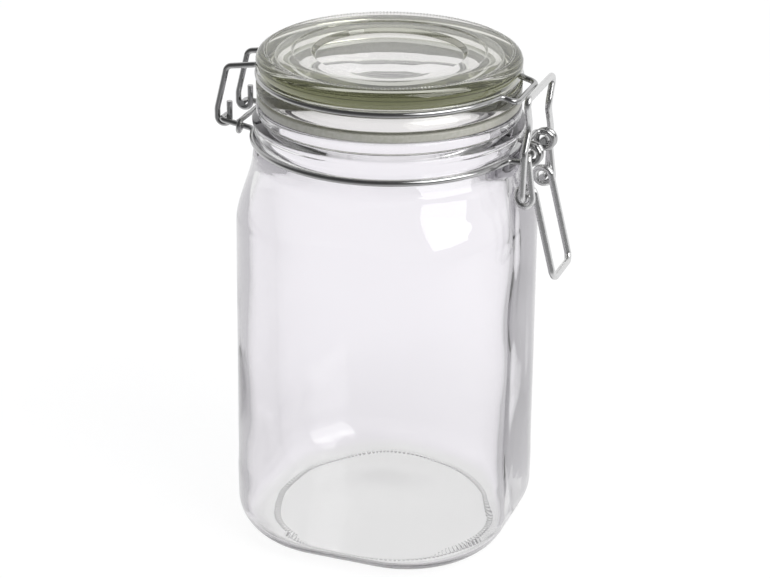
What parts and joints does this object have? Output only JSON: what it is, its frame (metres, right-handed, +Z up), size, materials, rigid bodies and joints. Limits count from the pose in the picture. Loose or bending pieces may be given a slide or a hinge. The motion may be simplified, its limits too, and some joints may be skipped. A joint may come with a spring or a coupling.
{
  "type": "lidded glass canister",
  "caption": "Rounded square glass storage jar with a round neck, a glass lid on a rubber ring, and a wire bail closure with a hinge and a toggle latch.",
  "frame": {"origin": "middle of the base, on the plane that the jar stands on", "axes": "+Z up along the axis of the neck, +X towards the latch, -X towards the lid's hinge, +Y to the left of the latch as seen from outside it"},
  "size_m": [0.1222, 0.097, 0.1722],
  "materials": {
    "glass": "clear, polished",
    "lid_glass": "clear, pressed",
    "rubber": "soft, grey olive",
    "wire": "bright drawn wire",
    "latch_wire": "bright drawn wire"
  },
  "bodies": {
    "jar": {"jar_body": "glass", "neck_hoop": "wire", "hinge_tie": "wire"},
    "closure_lid": {"lid": "lid_glass", "gasket": "rubber", "lid_hoop": "wire"},
    "latch_lever": {"lever": "latch_wire"},
    "latch_stirrup": {"stirrup": "latch_wire"}
  },
  "joints": [
    {"name": "lid_hinge", "type": "hinge", "parent": "jar", "child": "closure_lid", "pos_m": [-0.0563, 0, 0.1442], "axis": [0, -1, 0], "range_deg": [0, 165]},
    {"name": "lever_pivot", "type": "hinge", "parent": "jar", "child": "latch_lever", "pos_m": [0.0521, 0, 0.1452], "axis": [0, -1, 0], "range_deg": [-5, 70]},
    {"name": "stirrup_pivot", "type": "hinge", "parent": "latch_lever", "child": "latch_stirrup", "pos_m": [0.0514, 0, 0.1312], "axis": [0, -1, 0], "range_deg": [-140, 10]}
  ],
  "couplings": [
    {"joint": "stirrup_pivot", "follows": "lever_pivot", "ratio": -2}
  ]
}
